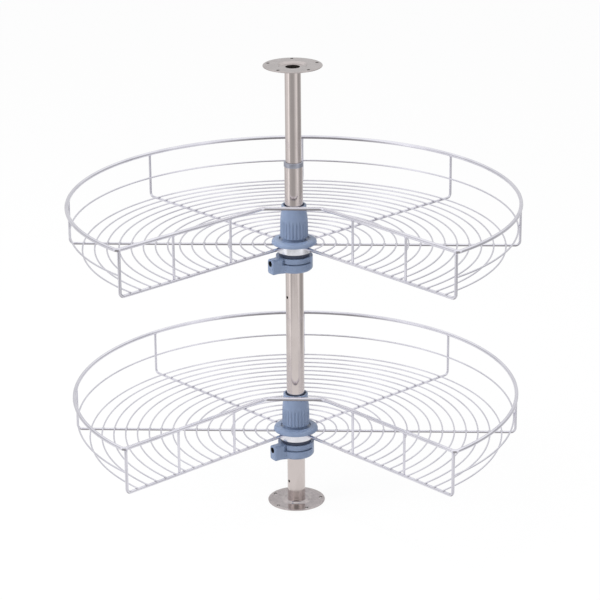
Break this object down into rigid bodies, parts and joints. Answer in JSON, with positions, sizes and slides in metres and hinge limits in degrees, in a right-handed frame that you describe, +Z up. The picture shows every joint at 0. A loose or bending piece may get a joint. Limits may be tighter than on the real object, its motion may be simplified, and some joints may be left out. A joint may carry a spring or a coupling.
{
  "type": "corner carousel cabinet",
  "caption": "Revolving wire carousel for a kitchen corner cabinet: three-quarter round baskets with a V-shaped door notch, clamped to a telescopic steel post with a flange at each end.",
  "frame": {"origin": "on the post's axis, in the plane of the floor flange's underside", "axes": "+Z up along the post; the V-shaped notch of both baskets faces -Y and is centred on the YZ plane; +X to the right when facing the notch from the front"},
  "size_m": [0.7098, 0.6042, 0.726],
  "materials": {
    "chrome_wire": "bright chrome plating on round steel wire",
    "stainless_steel": "polished tube and pressed sheet",
    "grey_blue_plastic": "semi-matte moulded grey-blue plastic",
    "dark_bearing_plastic": "dark slate low-friction plastic",
    "black_screw_steel": "blackened steel set screw"
  },
  "bodies": {
    "post": {"floor_flange": "stainless_steel", "lower_tube": "stainless_steel", "telescope_bush": "stainless_steel"},
    "upper_post": {"upper_tube": "stainless_steel", "ceiling_flange": "stainless_steel"},
    "lower_clamp_collar": {"lower_clamp": "grey_blue_plastic", "lower_bearing_ring": "dark_bearing_plastic"},
    "lower_set_screw": {"lower_clamp_screw": "black_screw_steel"},
    "lower_basket": {"lower_hub": "grey_blue_plastic", "lower_sleeve": "stainless_steel", "lower_basket_floor": "chrome_wire", "lower_basket_mid_wire": "chrome_wire", "lower_basket_rim": "chrome_wire", "lower_rod_right_outer": "chrome_wire", "lower_rod_right_inner": "chrome_wire", "lower_rod_left_outer": "chrome_wire", "lower_rod_left_inner": "chrome_wire"},
    "upper_clamp_collar": {"upper_clamp": "grey_blue_plastic", "upper_bearing_ring": "dark_bearing_plastic"},
    "upper_set_screw": {"upper_clamp_screw": "black_screw_steel"},
    "upper_basket": {"upper_hub": "grey_blue_plastic", "upper_sleeve": "stainless_steel", "upper_basket_floor": "chrome_wire", "upper_basket_mid_wire": "chrome_wire", "upper_basket_rim": "chrome_wire", "upper_rod_right_outer": "chrome_wire", "upper_rod_right_inner": "chrome_wire", "upper_rod_left_outer": "chrome_wire", "upper_rod_left_inner": "chrome_wire"}
  },
  "joints": [
    {"name": "post_extension", "type": "slide", "parent": "post", "child": "upper_post", "axis": [0, 0, 1], "range_m": [-0.075, 0.075]},
    {"name": "lower_clamp_height", "type": "slide", "parent": "post", "child": "lower_clamp_collar", "axis": [0, 0, 1], "range_m": [-0.062, 0]},
    {"name": "lower_screw_travel", "type": "slide", "parent": "lower_clamp_collar", "child": "lower_set_screw", "axis": [-0.809, -0.5878, 0], "range_m": [-0.0014, 0.004]},
    {"name": "lower_basket_turn", "type": "hinge", "parent": "lower_clamp_collar", "child": "lower_basket", "pos_m": [0, 0, 0.1215], "axis": [0, 0, 1], "continuous": true},
    {"name": "upper_clamp_height", "type": "slide", "parent": "post", "child": "upper_clamp_collar", "axis": [0, 0, 1], "range_m": [-0.062, 0]},
    {"name": "upper_screw_travel", "type": "slide", "parent": "upper_clamp_collar", "child": "upper_set_screw", "axis": [-0.809, -0.5878, 0], "range_m": [-0.0014, 0.004]},
    {"name": "upper_basket_turn", "type": "hinge", "parent": "upper_clamp_collar", "child": "upper_basket", "pos_m": [0, 0, 0.4375], "axis": [0, 0, 1], "continuous": true}
  ]
}
